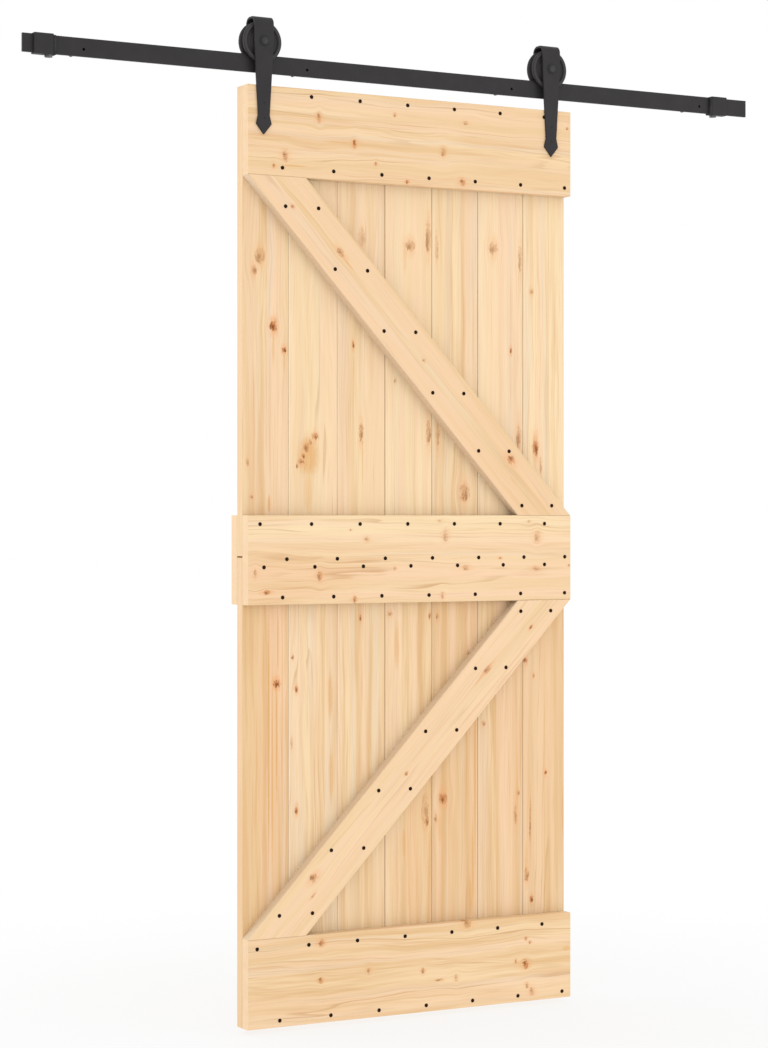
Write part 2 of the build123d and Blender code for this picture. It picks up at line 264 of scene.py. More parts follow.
def pine(board, along, across, looks, waviness, figure, line_strength, pith_side, edges, seam=None):
    """Bare pine with its grain along the board. Looks are strips, knots and resin streaks. A strip is (share
    of the width where it starts, depth of tone, blush). A knot or streak is (x, z) from the door's lower left
    corner, half width across the grain, half length along it, all in millimetres, and strength. Waviness is
    how far the grain wanders, and pith side how far the pith lies to one side, both in metres. Figure is the
    contrast of the bands, and line strength that of the rings. Edges are (direction that they face, colour,
    share of that colour), where the colour is painted light on those faces: a painted highlight where it is
    pale, painted shade where it is dark. A seam is (tongue on the right edge, strength of the painted shadow
    line there, strength of the painted highlight line on the left edge, side of the butt joint, whose end
    gets a painted shadow)."""
    strips, knots, streaks = looks
    low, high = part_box(board)
    middle = (low + high) / 2
    seed = sum(ord(letter) for letter in board) % seed_count * seed_step
    turn = Matrix((along, across, along.cross(across)))
    material, shader, place = new_material("pine_" + board)
    tree = shader.id_data
    values = {"Vector": place, "Location": -(turn @ middle), "Rotation": turn.to_euler()}
    grain = Wire.node(tree, "ShaderNodeMapping", {"vector_type": "POINT"}, values)
    corners = [corner.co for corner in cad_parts[board].data.vertices]
    half_length = max(corner.dot(along) for corner in corners) - middle.dot(along)
    half_width = max(corner.dot(across) for corner in corners) - middle.dot(across)
    width = grain.part("Y")

    def offset_from(x, z, half_across, half_along):
        """Place on the board from a spot's middle, in the spot's own half sizes."""
        centre = turn @ (door_corner + Vector((x, 0, z)) / mm_in_metre - middle)
        sizes = (mm_in_metre / half_along, mm_in_metre / half_across, 0)
        return grain.vector("SUBTRACT", centre).vector("MULTIPLY", sizes)

    def reach(offset):
        return offset.vector("LENGTH", (0, 0, 0), "Value")

    # Strips: each glued strip has its own rings, tone and blush
    shift, tone, blush = seed, strips[0][1], strips[0][2]
    for before, (share, strip_tone, strip_blush) in zip(strips, strips[1:]):
        past = width.maths("GREATER_THAN", (2 * share - 1) * half_width)
        shift = past * strip_jump + shift
        tone = past * (strip_tone - before[1]) + tone
        blush = past * (strip_blush - before[2]) + blush
    own = grain.vector("ADD", combine(tree, X=shift, Y=shift * jump_across, Z=seed))

    # Knots: a ragged body and heart, a warm halo along the grain, and the grain pushed aside round them
    ragged = grain.noise(*ragged_pattern) * ragged_reach - ragged_reach / 2
    bent = width + (own.noise(*wave_pattern) * 2 - 1) * waviness
    nearest, bodies, hearts, halos = [], [], [], []
    for x, z, half_across, half_along, strength in knots:
        offset = offset_from(x, z, half_across, half_along)
        near = reach(offset)
        bent = bent - offset.part("Y") * (half_across / mm_in_metre) / (near * near + push_softness)
        nearest.append(near * -1)
        bodies.append((1 - (near + ragged * knot_ragged).ramp(*knot_edge)) * strength)
        heart_side = heart_across if x % 2 else -heart_across
        aside = reach(offset.vector("ADD", (heart_along, heart_side, 0)))
        hearts.append((1 - (aside * heart_shrink + ragged * heart_ragged).ramp(*heart_edge)) * strength)
        drawn_out = reach(offset.vector("MULTIPLY", halo_stretch))
        halos.append((1 - (drawn_out + ragged * halo_ragged).ramp(*halo_edge)) * strength)

    # Growth rings: sleeves of uneven width and strength round a pith beside and behind the board
    pushed = combine(tree, X=0.0, Y=bent + shift * jump_across, Z=0.0)
    follow = own.vector("MULTIPLY", (1, 0, 1)).vector("ADD", pushed)
    depth = grain.part("Z") + grain.part("X") * pith_lean + pith_depth
    sideways = bent + pith_side
    sleeve = (sideways * sideways + depth * depth).maths("SQRT")
    count = sleeve / ring_width + shift * jump_rings + follow.noise(*drift_pattern) * ring_drift
    one_number = {"noise_dimensions": "1D"}
    ring_tone = Wire.node(tree, "ShaderNodeTexWhiteNoise", one_number, {"W": count.maths("FLOOR")})
    rings = count.maths("FRACT")
    strengths = ring_tone * ring_tone * ring_strength + faintest_ring
    late = rings.ramp(*late_rise) * (1 - rings.ramp(*late_fall)) * strengths
    bands = follow.noise(*band_pattern).ramp(*band_contrast)
    blushes = follow.noise(*blush_pattern).ramp(*blush_contrast)
    greys = follow.noise(*grey_pattern).ramp(*grey_contrast)
    hairs = follow.noise(*hair_pattern)
    fibres = own.noise(*fibre_pattern)

    # Colour: the strip's tone and blush, bands, late rings and hairs, then streaks, knots, the painted light
    # on the edges, and the seams' painted shadow and highlight lines
    calm = own.noise(*calm_pattern).ramp(*calm_contrast) * (1 - calm_least) + calm_least
    colour = ((bands - 0.5) * calm * (band_share * figure) + tone).mix(yellow_wood, tan_wood)
    colour = ((blushes - 0.4) * blush_share + blush).mix(colour, pink_wood)
    colour = (greys * calm * (grey_share * figure)).mix(colour, grey_wood)
    broken = own.noise(*broken_pattern).ramp(*broken_contrast)
    colour = (late * broken * line_strength).mix(colour, line_wood)
    colour = (hairs.ramp(*hair_contrast) * calm * hair_share).mix(colour, line_wood)
    colour = (fibres.ramp(*fibre_contrast) * fibre_share).mix(colour, line_wood)
    if streaks:
        masks = []
        for x, z, half_across, half_along, strength in streaks:
            near = reach(offset_from(x, z, half_across, half_along)) + ragged * streak_ragged
            masks.append((1 - near.ramp(*streak_edge)) * strength)
        colour = (strongest(masks) * (hairs * 0.8 + 0.5)).mix(colour, resin)
    if knots:
        body = strongest(bodies)
        circles = strongest(nearest) * ripple_count + ragged * ripple_ragged
        ripples = circles.maths("FRACT").ramp(*ripple_contrast)
        colour = (strongest(halos) * halo_share).mix(colour, knot_halo)
        knot_colour = body.ramp(*knot_core).mix(knot_brown, knot_red)
        colour = (body * (ripples * 0.5 + 0.65)).mix(colour, knot_colour)
        colour = (body * ripples * ripple_share).mix(colour, knot_heart)
        colour = (strongest(hearts) * heart_share).mix(colour, knot_heart)
    # The faces at the board's ends, or along its sides, take the given colour as painted light.
    facing, edge_painted_light, share = edges
    half_size = half_length if facing == "X" else half_width
    edge = grain.part(facing).maths("ABSOLUTE").maths("GREATER_THAN", half_size - edge_depth)
    colour = (edge * share).mix(colour, edge_painted_light)
    roughness = late * late_roughness + fibres * fibre_roughness + wood_roughness
    if seam:
        tongue, seam_shadow_strength, seam_highlight_strength, butt_side = seam
        right_edge = half_width - tongue - seam_width
        # Painted shadow line at the right edge, where the gap to the next plank lies
        seam_shadow_mask = width.ramp(right_edge - seam_fade, right_edge) * seam_shadow_strength
        colour = seam_shadow_mask.mix(colour, seam_shade)
        # Painted highlight line on the bevel at the left edge
        left_edge = seam_highlight_width - half_width
        seam_highlight_mask = (1 - width.ramp(left_edge, left_edge + seam_fade)) * seam_highlight_strength
        colour = seam_highlight_mask.mix(colour, seam_highlight)
        # Painted shadow at the end that butts on the other half of the plank
        butt_shadow_mask = (grain.part("X") * butt_side).maths("GREATER_THAN", half_length - seam_width)
        colour = (butt_shadow_mask * butt_shadow_share).mix(colour, knot_heart)
        roughness = roughness + seam_shadow_mask * seam_roughness
    shader.inputs["Specular IOR Level"].default_value = wood_gloss
    finish_shader(shader, fibres * 0.5 + late * 0.5, grain_relief, Base_Color=colour, Roughness=roughness)
    dress(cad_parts[board], material)


upright = Vector((0, 0, 1))
level = Vector((1, 0, 0))

# Planks: upright pine boards, tongue and groove, in two halves that butt behind the middle rail and are held
# by the rails and braces. Each seam has a painted shadow line on the plank to its left and a painted
# highlight line on the other.
planks = {
    "upper_plank_1": ([(0, 0.51, 0.05), (0.5, 0.27, 0.3), (0.68, 0.41, 0.25)], [
        (43, 1723, 15, 20, 0.45), (28, 1691, 8, 12, 0.5), (77, 1567, 11, 13, 1), (104, 1515, 7, 7, 0.95),
        (22, 1184, 4, 5, 0.5), (12, 1262, 4, 12, 0.4)],
        [(66, 1168, 4, 24, 0.8), (68, 1380, 4, 190, 0.35), (77, 1520, 4, 45, 0.4), (104, 1490, 3, 30, 0.4)]),
    "upper_plank_2": ([(0, 0.12, 0.05), (0.3, 0.18, 0.05), (0.62, 0.1, 0.1)], [
        (182, 1321, 9, 9, 0.7), (170, 1308, 5, 7, 0.4), (161, 1296, 9, 12, 0.6), (152, 1276, 5, 6, 0.75),
        (146, 1264, 9, 7, 0.6), (137, 1254, 4, 6, 0.6)],
        [(165, 1276, 30, 52, 0.7), (164, 1200, 13, 60, 0.36)]),
    "upper_plank_3": ([(0, 0.27, 0.2), (0.55, 0.33, 0.1)], [
        (280, 1531, 4, 9, 0.9), (300, 1330, 7, 26, 0.55), (302, 1779, 12, 26, 0.2)],
        [(280, 1460, 2, 110, 0.5), (304, 1262, 2, 60, 0.5)]),
    "upper_plank_4": ([(0, 0.17, 0.1), (0.4, 0.13, 0.15), (0.75, 0.25, 0.3)], [
        (429, 1764, 15, 14, 0.5), (477, 1785, 9, 38, 0.5), (478, 1335, 8, 34, 0.5), (389, 1452, 4, 6, 0.4)],
        [(415, 1735, 5, 40, 0.3)]),
    "upper_plank_5": ([(0, 0.38, 0.05), (0.59, 0.42, 0.35)], [
        (502, 1329, 6, 30, 0.35), (574, 1196, 15, 24, 0.5), (570, 1185, 5, 8, 0.6), (500, 1765, 6, 40, 0.25)],
        [(598, 1600, 3, 160, 0.3)]),
    "upper_plank_6": ([(0, 0.05, 0.0), (0.42, 0.15, 0.3), (0.73, 0.35, 0.1)], [
        (653, 1769, 14, 18, 0.4), (727, 1748, 6, 38, 0.35), (701, 1531, 4, 8, 0.95), (723, 1327, 8, 30, 0.5)],
        [(701, 1620, 2, 140, 0.4), (701, 1450, 2, 70, 0.4)]),
    "upper_plank_7": ([(0, 0.08, 0.12), (0.63, 0.15, 0.05)], [
        (758, 1672, 6, 7, 0.45), (770, 1304, 9, 22, 0.85), (784, 1262, 4, 22, 0.35)], []),
    "lower_plank_1": ([(0, 0.84, 0.1), (0.44, 1, 0.45)], [(84, 765, 10, 10, 1)],
        [(65, 640, 3, 340, 0.95), (74, 560, 2.5, 300, 0.85), (85, 650, 3, 170, 0.9), (99, 700, 2, 250, 0.6),
         (88, 860, 2.5, 90, 0.8), (52, 600, 2, 330, 0.6), (60, 520, 64, 620, 0.16)]),
    "lower_plank_2": ([(0, 0.31, 0.0), (0.34, 0.38, 0.05), (0.7, 0.5, 0.0)], [
        (125, 824, 4, 5, 0.65), (135, 752, 6, 8, 0.75), (135, 478, 6, 9, 0.8), (123, 631, 4, 14, 0.3)],
        [(221, 733, 7, 60, 0.6), (223, 550, 7, 70, 0.5)]),
    "lower_plank_3": ([(0, 0.48, 0.15), (0.45, 0.51, 0.1)], [(298, 908, 4, 9, 0.75)],
        [(276, 760, 3, 110, 0.25)]),
    "lower_plank_4": ([(0, 0.39, 0.1), (0.62, 0.6, 0.15)], [
        (374, 917, 8, 6, 0.5), (481, 911, 4, 10, 0.6), (472, 436, 7, 14, 0.6), (468, 465, 12, 40, 0.3)],
        [(393, 845, 8, 60, 0.5), (412, 387, 7, 48, 0.65), (474, 600, 3, 200, 0.25),
         (440, 360, 60, 280, 0.32)]),
    "lower_plank_5": ([(0, 0.9, 0.2), (0.3, 0.83, 0.3), (0.78, 0.96, 0.1)], [
        (501, 909, 4, 9, 0.55), (517, 485, 12, 15, 0.8), (497, 440, 5, 12, 0.5), (584, 822, 5, 8, 0.4)],
        [(603, 560, 4, 300, 0.7), (597, 330, 4, 120, 0.7), (590, 256, 6, 50, 0.65), (508, 420, 9, 40, 0.35)]),
    "lower_plank_6": ([(0, 0.56, 0.0), (0.38, 0.86, 0.35), (0.72, 0.88, 0.1)], [
        (626, 655, 6, 7, 0.45), (722, 488, 5, 8, 0.5), (714, 437, 5, 24, 0.45)],
        [(718, 500, 3, 140, 0.3)]),
    "lower_plank_7": ([(0, 0.76, 0.15), (0.5, 0.73, 0.05)], [
        (741, 801, 7, 8, 0.75), (764, 763, 4, 6, 0.5), (798, 532, 4, 6, 0.95), (755, 417, 2.5, 60, 0.6),
        (744, 294, 9, 18, 0.5), (758, 235, 6, 9, 0.9)],
        [(846, 440, 4, 60, 0.5), (744, 330, 4, 50, 0.45), (756, 400, 3, 110, 0.4)]),
}
# Flat-sawn planks, with how far the pith lies to one side, and the strength of the rings in these and others
flat_sawn = {"upper_plank_2": -0.03, "lower_plank_2": 0.025, "lower_plank_5": -0.035, "lower_plank_7": -0.01}
flat_sawn_lines = 0.62
straight_lines = 0.3
straight_pith = 0.1
tongue_reach = 0.007
# Strength of the painted shadow line at each plank's right edge and of the painted highlight line at its
# left edge, from the left
seam_shadow_strengths = (0.1, 0.0, 0.9, 0.6, 0.7, 0.6, 0)
seam_highlight_strengths = (0, 0.5, 0.2, 0.25, 0.2, 0.2, 0.2)
for plank, looks in planks.items():
    number = int(plank[-1]) - 1
    butt_side = -1 if plank.startswith("upper") else 1
    lines = flat_sawn_lines if plank in flat_sawn else straight_lines
    pith = flat_sawn.get(plank, -straight_pith if number % 2 else straight_pith)
    # The planks' side faces carry a pale painted highlight.
    pine(plank, upright, level, looks, waviness=0.006, figure=1.05, line_strength=lines, pith_side=pith,
         edges=("Y", end_highlight_wood, 0.4),
         seam=(tongue_reach, seam_shadow_strengths[number], seam_highlight_strengths[number], butt_side))

# Rails: pine boards across the whole door, grain level, screwed to the planks from the front. Their branches
# are cut into tall ovals. Their ends carry a pale painted highlight. The back rail is a plain board of the
# same batch.
rails = {
    "top_rail": ([(0, 0.47, 0.1), (0.3, 0.49, 0.25), (0.62, 0.42, 0.2)], [
        (178, 2038, 14, 6, 0.5), (268, 1985, 10, 5, 0.85), (92, 1946, 13, 8, 0.55), (64, 1922, 7, 4, 0.6),
        (324, 1943, 6, 4, 0.5), (373, 2058, 6, 4, 0.45), (501, 1981, 12, 7, 0.45), (561, 2053, 6, 8, 0.35),
        (552, 1916, 10, 8, 0.65), (405, 1907, 5, 5, 0.75), (841, 2060, 4, 4, 0.5)],
        [(228, 1986, 2, 42, 0.5), (115, 1925, 2, 36, 0.7), (40, 1985, 9, 60, 0.2)]),
    "middle_rail": ([(0, 0.41, 0.45), (0.69, 0.11, 0.0)], [
        (300, 1088, 8, 7, 0.4), (179, 1007, 14, 7, 0.55), (47, 971, 6, 10, 0.7), (269, 952, 9, 5, 0.65),
        (373, 1022, 5, 4, 0.4), (258, 1110, 3, 3, 0.5), (507, 1096, 16, 8, 0.35), (757, 1092, 16, 9, 0.35),
        (734, 1128, 5, 6, 0.25), (492, 1130, 4, 7, 0.25), (561, 1021, 7, 10, 0.4), (499, 957, 10, 5, 0.4),
        (655, 1043, 4, 4, 0.7), (755, 1019, 7, 12, 0.35), (846, 1024, 4, 4, 0.5), (18, 1012, 12, 4, 0.35)],
        [(110, 1000, 58, 230, 0.16)]),
    "bottom_rail": ([(0, 0.5, 0.1), (0.58, 0.52, 0.1)], [
        (183, 181, 11, 8, 0.65), (182, 96, 8, 6, 0.6), (305, 109, 9, 5, 0.5), (566, 194, 12, 11, 0.5),
        (447, 95, 8, 5, 0.6), (536, 71, 10, 6, 0.3), (491, 71, 4, 12, 0.5), (724, 87, 13, 9, 0.8),
        (698, 96, 6, 4, 0.55), (726, 147, 5, 4, 0.5), (737, 138, 5, 4, 0.5), (729, 38, 8, 5, 0.5),
        (742, 22, 12, 7, 0.45)],
        [(839, 116, 7, 14, 0.45)]),
    "back_middle_rail": ([(0, 0.42, 0.2), (0.5, 0.34, 0.2)], [
        (210, 1010, 12, 8, 0.7), (610, 1080, 12, 8, 0.6)], []),
}
for rail, looks in rails.items():
    pine(rail, level, upright, looks, waviness=0.011, figure=0.75, line_strength=0.85, pith_side=0.03,
         edges=("X", end_highlight_wood, 0.65))

# Braces: one pine board each, its grain along the slope, cut level at both ends to stand between the rails
# and screwed to the planks. Their long side faces carry painted shade, greyer and darker than their fronts.
# The first number is -1 where the brace falls to the right and 1 where it rises.
braces = {
    "upper_brace": (-1, ([(0, 0.51, 0.3), (0.42, 0.49, 0.2)], [
        (111, 1834, 5, 5, 0.6), (233, 1737, 8, 14, 0.5), (449, 1499, 5, 5, 0.45), (684, 1273, 11, 12, 0.7)],
        [(252, 1712, 2, 24, 0.6), (690, 1225, 2, 20, 0.4), (700, 1240, 90, 230, 0.12)])),
    "lower_brace": (1, ([(0, 0.4, 0.25), (0.6, 0.37, 0.2)], [
        (164, 328, 11, 12, 0.6), (162, 287, 4, 9, 0.45), (739, 880, 5, 6, 0.7), (620, 783, 7, 14, 0.55),
        (403, 551, 5, 6, 0.5)],
        [(598, 760, 2, 22, 0.5)])),
}
brace_cut = 0.146
for brace, (rise, looks) in braces.items():
    low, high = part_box(brace)
    slope = Vector((high.x - low.x - brace_cut, 0, rise * (high.z - low.z))).normalized()
    square_to_slope = Vector((-slope.z, 0, slope.x))
    pine(brace, slope, square_to_slope, looks, waviness=0.006, figure=0.5, line_strength=0.35, pith_side=0.05,
         edges=("Y", brace_edge_shade, 0.75))

# Hanger straps, axle nuts, and the track bar with its stops and standoffs: bent flat bar, clamps, nuts and
# sleeves of steel with a black powder coat, baked on. It is satin with a very fine orange peel and a slight
# unevenness of tone.
coat_colour = (0.024, 0.0215, 0.0235, 1)
coat_worn = (0.033, 0.03, 0.032, 1)
# Lighter colour for painted highlights, used on the wheels' turned ridges
coat_ridge_highlight = (0.062, 0.058, 0.061, 1)
coat_gloss = 0.25
coat_roughness = 0.4
coat_relief = 0.00012
peel_pattern = ((900, 900, 900), 2)
mottle_pattern = ((26, 26, 26), 3)
mottle_contrast = (0.3, 0.75)
mottle_share = 0.7


def powder_coat(name, nodes, rub=None):
    """Coats the nodes. Rub is a function that gives how much painted highlight the coat gets, from a place on
    the piece.
    """
    material, shader, place = new_material(name)
    peel = place.noise(*peel_pattern)
    mottle = place.noise(*mottle_pattern)
    colour = (mottle.ramp(*mottle_contrast) * mottle_share).mix(coat_colour, coat_worn)
    # Painted highlight, where rub gives a share
    if rub:
        colour = rub(place).mix(colour, coat_ridge_highlight)
    shader.inputs["Specular IOR Level"].default_value = coat_gloss
    roughness = mottle * 0.16 + peel * 0.1 + coat_roughness
    finish_shader(shader, peel, coat_relief, Base_Color=colour, Roughness=roughness)
    for node in nodes:
        dress(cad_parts[node], material)
    return material


coat_material = powder_coat("black_powder_coat", (
    "left_hanger_strap", "right_hanger_strap", "axle_nuts", "track_bar", "wall_standoffs", "left_stop",
    "right_stop"))

# Wheels: turned from steel, with a groove that runs on the bar and a bearing pressed in, and coated as the
# straps are. Rings round the axle are painted lighter on the coat, a painted highlight for the ridges that
# the cutting tool left.
turning_step = 0.0085
ridge_contrast = (0.45, 1.0)
ridge_highlight_share = 0.6
for wheel in ("left_wheel", "right_wheel"):
    hub = (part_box(wheel)[0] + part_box(wheel)[1]) / 2

    def painted_ridge_highlights(place):
        from_hub = place.vector("SUBTRACT", hub).vector("MULTIPLY", (1, 0, 1))
        from_axle = from_hub.vector("LENGTH", (0, 0, 0), "Value")
        ridges = (from_axle / turning_step).maths("PINGPONG", 1.0)
        return ridges.ramp(*ridge_contrast) * ridge_highlight_share

    powder_coat("turned_" + wheel, (wheel,), painted_ridge_highlights)

# Axle bolts: steel bolts with domed heads through straps, spacers and bearings, held by the nuts behind.
# They are black oxide, darker and smoother than the coat round them, with a painted highlight on the crown
# of the head.
oxide_colour = (0.008, 0.008, 0.009, 1)
# Lighter colour for the painted highlight on the crowns
oxide_crown_highlight = (0.05, 0.048, 0.05, 1)
oxide_gloss = 0.35
oxide_roughness = 0.3
oxide_relief = 0.00008
crown_depth = (0.0004, 0.0022)
smear_pattern = ((220, 220, 220), 2)
oxide_material, oxide_shader, oxide_place = new_material("black_oxide")
# The crown of each head is painted lighter, a painted highlight broken by a fine smear.
crown = 1 - (oxide_place.part("Y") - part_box("axle_bolts")[0].y).ramp(*crown_depth)
smear = oxide_place.noise(*smear_pattern)
oxide_shader.inputs["Specular IOR Level"].default_value = oxide_gloss
crown_highlight = (crown * (smear * 0.5 + 0.35)).mix(oxide_colour, oxide_crown_highlight)
finish_shader(oxide_shader, smear, oxide_relief, Base_Color=crown_highlight,
              Roughness=smear * 0.2 + oxide_roughness)
dress(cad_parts["axle_bolts"], oxide_material)

# Screws: countersunk steel screws with a cross recess, blackened, driven flush into the straps and all but
# flush into the boards. Geometry Nodes set one on each place where the frame has a head.
screw_colour = (0.016, 0.006, 0.002, 1)
screw_dust = (0.03, 0.014, 0.006, 1)
screw_gloss = 0.12
screw_roughness = 0.6
screw_relief = 0.0001
dust_pattern = ((700, 700, 700), 2)
dust_contrast = (0.4, 0.8)
head_sides = 24
shank_sides = 12
cross_share = 0.58
cross_waist_share = 0.34
weld_distance = 0.00001
turn_seed = 7
# The rim of a head in the frame: its span in head radii, and its depth as a share of that span
rim_span = 2.2
rim_depth = 0.01
screw_material, screw_shader, screw_place = new_material("black_screw_finish")
dust = screw_place.noise(*dust_pattern)
screw_shader.inputs["Specular IOR Level"].default_value = screw_gloss
dusted = dust.ramp(*dust_contrast).mix(screw_colour, screw_dust)
finish_shader(screw_shader, dust, screw_relief, Base_Color=dusted, Roughness=dust * 0.2 + screw_roughness)


def head_places(node, head_reach):
    """Middles of a screw group's heads, from the rims that lie on its front."""
    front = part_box(node)[0].y
    rims = []
    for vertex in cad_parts[node].data.vertices:
        if vertex.co.y - front < head_reach * rim_depth:
            own_rim = [rim for rim in rims if (rim[0] - vertex.co).length < head_reach]
            if own_rim:
                own_rim[0].append(vertex.co)
            else:
                rims.append([vertex.co])
    places = []
    for rim in rims:
        corners = [Vector(outer(point[axis] for point in rim) for axis in range(3)) for outer in (min, max)]
        places.append((corners[0] + corners[1]) / 2)
    return places


def screw_tree():
    """One screw on each point, its shank as long as the point's own length."""
    tree = bpy.data.node_groups.new("countersunk_screws", "GeometryNodeTree")
    tree.interface.new_socket("Places", in_out="INPUT", socket_type="NodeSocketGeometry")
    for name in ("Head Radius", "Head Height", "Shank Radius", "Point Length", "Recess Depth", "Stand Proud"):
        tree.interface.new_socket(name, in_out="INPUT", socket_type="NodeSocketFloat")
    tree.interface.new_socket("Finish", in_out="INPUT", socket_type="NodeSocketMaterial")
    tree.interface.new_socket("Screws", in_out="OUTPUT", socket_type="NodeSocketGeometry")
    given = {socket.name: Wire(socket) for socket in tree.nodes.new("NodeGroupInput").outputs}

    def add(kind, sockets, output=0, **settings):
        return Wire.node(tree, "GeometryNode" + kind, settings, sockets, output)

    def join(*pieces):
        joined = tree.nodes.new("GeometryNodeJoinGeometry")
        for piece in pieces:
            tree.links.new(piece.socket, joined.inputs[0])
        return Wire(joined.outputs[0])

    def lift(height):
        return Wire.node(tree, "ShaderNodeCombineXYZ", {}, {"Z": height})

    def set_on_places(shape, height):
        stood = add("InstanceOnPoints", {"Points": given["Places"], "Instance": shape,
                                         "Rotation": (radians(90), 0, 0)})
        return add("TranslateInstances", {"Instances": stood, "Translation": lift(height),
                                          "Local Space": True})

    # Head: a flat ring round a cross-shaped pit, over a cone
    rim = add("CurvePrimitiveCircle", {"Resolution": head_sides, "Radius": given["Head Radius"]})
    arm = given["Head Radius"] * cross_share
    cross = add("CurveStar", {"Points": 4, "Inner Radius": arm * cross_waist_share, "Outer Radius": arm})
    ring = add("FillCurve", {"Curve": join(rim, cross)})
    mouth = add("FillCurve", {"Curve": cross}, mode="NGONS")
    pit = add("ExtrudeMesh", {"Mesh": mouth, "Offset Scale": given["Recess Depth"] * -1, "Individual": False})
    seat = add("MeshCone", {"Vertices": head_sides, "Radius Top": given["Head Radius"],
                            "Depth": given["Head Height"], "Radius Bottom": given["Shank Radius"]},
               fill_type="NONE")
    sunk_seat = add("Transform", {"Geometry": seat, "Translation": lift(given["Head Height"] * -1)})
    head = add("MergeByDistance", {"Geometry": join(ring, pit, sunk_seat), "Distance": weld_distance})
    turn = Wire.node(tree, "FunctionNodeRandomValue", {"data_type": "FLOAT"},
                     {"Min_001": 0.0, "Max_001": radians(90), "Seed": turn_seed}, "Value_001")
    heads = add("RotateInstances", {"Instances": set_on_places(head, given["Stand Proud"]),
                                    "Local Space": True, "Rotation": lift(turn)})

    # Shank and point behind the head
    length = add("InputNamedAttribute", {"Name": "screw_length"}, data_type="FLOAT")
    neck = length - given["Head Height"] - given["Point Length"]
    rod = add("MeshCylinder", {"Vertices": shank_sides, "Radius": given["Shank Radius"], "Depth": 1.0},
              fill_type="NONE")
    rods = set_on_places(rod, (neck / 2 + given["Head Height"]) * -1)
    stretch = Wire.node(tree, "ShaderNodeCombineXYZ", {}, {"X": 1.0, "Y": 1.0, "Z": neck})
    shanks = add("ScaleInstances", {"Instances": rods, "Scale": stretch, "Local Space": True})
    tip = add("MeshCone", {"Vertices": shank_sides, "Radius Top": given["Shank Radius"],
                           "Depth": given["Point Length"], "Radius Bottom": 0.0}, fill_type="NONE")
    tips = set_on_places(tip, length * -1)
    screws = add("RealizeInstances", {"Geometry": join(heads, shanks, tips)})
    finished = add("SetMaterial", {"Geometry": screws, "Material": given["Finish"]})
    tree.links.new(finished.socket, tree.nodes.new("NodeGroupOutput").inputs[0])
    return tree


def set_screws(name, groups, sizes):
    """Screws in place of the frame's screw groups, as one plain mesh on the door."""
    places = []
    lengths = []
    for node in groups:
        low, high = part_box(node)
        heads = head_places(node, rim_span * sizes["Head Radius"])
        places += heads
        lengths += [high.y - low.y] * len(heads)
    mesh = bpy.data.meshes.new(name)
    mesh.from_pydata(places, [], [])
    mesh.attributes.new("screw_length", "FLOAT", "POINT").data.foreach_set("value", lengths)
    piece = bpy.data.objects.new(name, mesh)
    bpy.context.scene.collection.objects.link(piece)
    modifier = piece.modifiers.new("screws", "NODES")
    modifier.node_group = screws_group
    for socket in screws_group.interface.items_tree:
        if socket.in_out == "INPUT" and socket.name in sizes:
            modifier[socket.identifier] = sizes[socket.name]
    built = piece.evaluated_get(bpy.context.evaluated_depsgraph_get())
    piece.data = bpy.data.meshes.new_from_object(built)
    piece.modifiers.clear()
    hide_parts(*groups)
    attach(piece, "door")


screws_group = screw_tree()
set_screws("wood_screws", ("top_rail_screws", "middle_rail_screws", "bottom_rail_screws",
                           "upper_brace_screws", "lower_brace_screws"),
           {"Head Radius": 0.0045, "Head Height": 0.0035, "Shank Radius": 0.0022, "Point Length": 0.006,
            "Recess Depth": 0.00035, "Stand Proud": 0.0004, "Finish": screw_material})
set_screws("hanger_screws", ("strap_screws",),
           {"Head Radius": 0.005, "Head Height": 0.003, "Shank Radius": 0.0022, "Point Length": 0.006,
            "Recess Depth": 0.0008, "Stand Proud": 0.0, "Finish": coat_material})

# Axle spacers and wheel bearings: sleeves on the axle bolts and rings pressed into the wheels, turned from
# steel, zinc-plated and bright.
zinc_light = (0.62, 0.62, 0.61, 1)
zinc_dull = (0.42, 0.42, 0.42, 1)
zinc_roughness = 0.22
zinc_relief = 0.00005
spangle_pattern = ((160, 160, 160), 3)
spangle_contrast = (0.35, 0.7)
scratch_pattern = ((120, 2400, 120), 2)
zinc_material, zinc_shader, zinc_place = new_material("zinc_plate")
spangle = zinc_place.noise(*spangle_pattern)
scratch = zinc_place.noise(*scratch_pattern)
zinc_shader.inputs["Metallic"].default_value = 1.0
finish_shader(zinc_shader, scratch, zinc_relief,
              Base_Color=spangle.ramp(*spangle_contrast).mix(zinc_light, zinc_dull),
              Roughness=spangle * 0.2 + scratch * 0.15 + zinc_roughness)
for node in ("axle_spacers", "left_wheel_bearing", "right_wheel_bearing"):
    dress(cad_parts[node], zinc_material)

# Stop screws: hexagon screws of plain steel that clamp each stop to the bar from below, gone dull grey, with
# darker tool marks.
dull_steel = (0.15, 0.148, 0.152, 1)
dark_steel = (0.07, 0.07, 0.072, 1)
steel_roughness = 0.35
steel_relief = 0.00005
tool_mark_pattern = ((500, 500, 90), 2)
tool_mark_contrast = (0.4, 0.7)
steel_material, steel_shader, steel_place = new_material("dull_steel")
tool_marks = steel_place.noise(*tool_mark_pattern)
steel_shader.inputs["Metallic"].default_value = 1.0
finish_shader(steel_shader, tool_marks, steel_relief,
              Base_Color=tool_marks.ramp(*tool_mark_contrast).mix(dull_steel, dark_steel),
              Roughness=tool_marks * 0.2 + steel_roughness)
dress(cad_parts["stop_screws"], steel_material)

